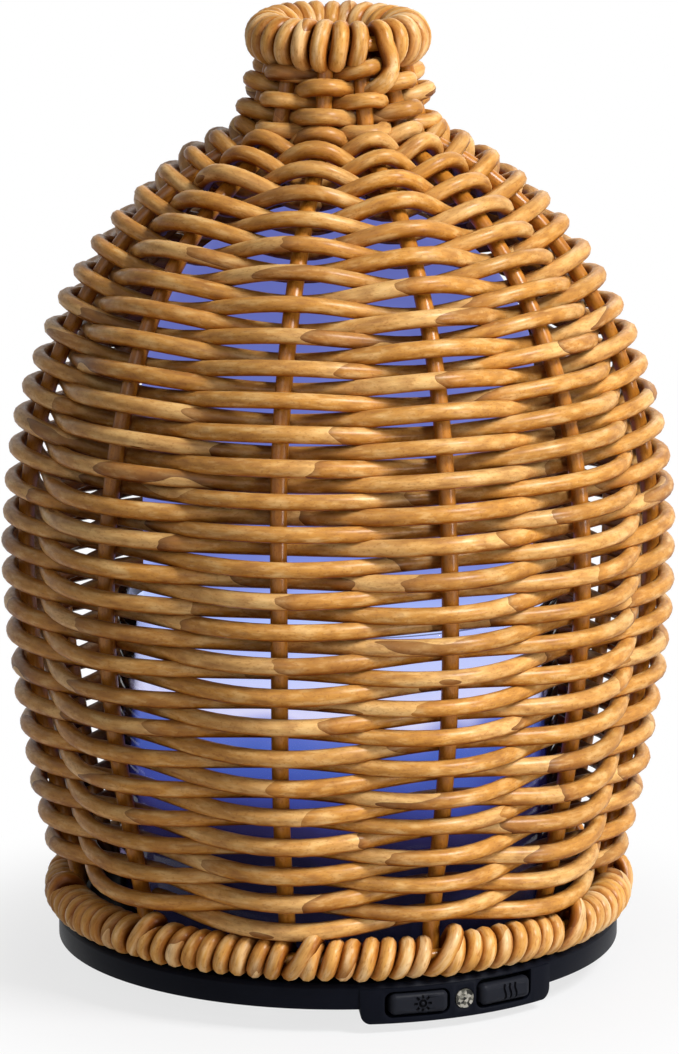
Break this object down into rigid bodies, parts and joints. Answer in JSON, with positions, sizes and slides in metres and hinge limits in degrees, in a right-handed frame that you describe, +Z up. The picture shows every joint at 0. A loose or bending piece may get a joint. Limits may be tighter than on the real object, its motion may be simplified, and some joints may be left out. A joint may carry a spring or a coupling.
{
  "type": "essential oil diffuser",
  "caption": "Ultrasonic oil diffuser: black base with two buttons, lit water tank and spouted lid, under a bottle-shaped woven rattan cover that lifts off.",
  "frame": {"origin": "middle of the footprint, on the surface that the feet stand on", "axes": "+Z up, the control tab faces -Y"},
  "size_m": [0.1292, 0.1309, 0.1852],
  "materials": {
    "strand_rattan": "satin, varnished rattan",
    "stake_rattan": "glossy varnished rattan",
    "black_plastic": "satin",
    "milky_plastic": "translucent, lit blue from inside",
    "clear_plastic": "clear, polished",
    "rubber": "matte",
    "circuit_board": "green solder mask",
    "steel": "plated",
    "brass": "bare"
  },
  "bodies": {
    "base": {"base_housing": "black_plastic", "bottom_cover": "black_plastic", "fan_frame": "black_plastic", "disc_clamp": "black_plastic", "water_tank": "milky_plastic", "clear_sleeve": "clear_plastic", "indicator_lens": "clear_plastic", "foot_1": "rubber", "foot_2": "rubber", "foot_3": "rubber", "foot_4": "rubber", "disc_seal": "rubber", "main_board": "circuit_board", "light_board": "circuit_board", "switch_board": "circuit_board", "screw_1": "steel", "screw_2": "steel", "screw_3": "steel", "screw_4": "steel", "power_jack": "steel", "mist_disc": "brass"},
    "cover": {"stake_01": "stake_rattan", "stake_02": "stake_rattan", "stake_03": "stake_rattan", "stake_04": "stake_rattan", "stake_05": "stake_rattan", "stake_06": "stake_rattan", "stake_07": "stake_rattan", "stake_08": "stake_rattan", "stake_09": "stake_rattan", "stake_10": "stake_rattan", "stake_11": "stake_rattan", "weaver_01": "strand_rattan", "weaver_02": "strand_rattan", "weaver_03": "strand_rattan", "weaver_04": "strand_rattan", "weaver_05": "strand_rattan", "weaver_06": "strand_rattan", "weaver_07": "strand_rattan", "weaver_08": "strand_rattan", "weaver_09": "strand_rattan", "weaver_10": "strand_rattan", "weaver_11": "strand_rattan", "weaver_12": "strand_rattan", "weaver_13": "strand_rattan", "weaver_14": "strand_rattan", "weaver_15": "strand_rattan", "weaver_16": "strand_rattan", "foot_ring_core": "stake_rattan", "foot_ring_wrap": "strand_rattan", "neck_ring_core": "stake_rattan", "neck_ring_wrap": "strand_rattan"},
    "lid": {"inner_lid": "milky_plastic"},
    "light_key": {"light_button": "black_plastic"},
    "mist_key": {"mist_button": "black_plastic"},
    "fan": {"fan_rotor": "black_plastic"}
  },
  "joints": [
    {"name": "cover_lift", "type": "slide", "parent": "base", "child": "cover", "axis": [0, 0, 1], "range_m": [0, 0.25]},
    {"name": "lid_lift", "type": "slide", "parent": "base", "child": "lid", "axis": [0, 0, 1], "range_m": [0, 0.08]},
    {"name": "light_button_press", "type": "slide", "parent": "base", "child": "light_key", "axis": [0.165, 0.9863, 0], "range_m": [0, 0.0008], "stiffness_N_per_m": 800},
    {"name": "mist_button_press", "type": "slide", "parent": "base", "child": "mist_key", "axis": [-0.165, 0.9863, 0], "range_m": [0, 0.0008], "stiffness_N_per_m": 800},
    {"name": "fan_spin", "type": "hinge", "parent": "base", "child": "fan", "pos_m": [0.019, 0, 0.01], "axis": [0, 0, 1], "continuous": true}
  ],
  "couplings": [
    {"joint": "lid_lift", "follows": "cover_lift", "ratio": 0.32}
  ]
}
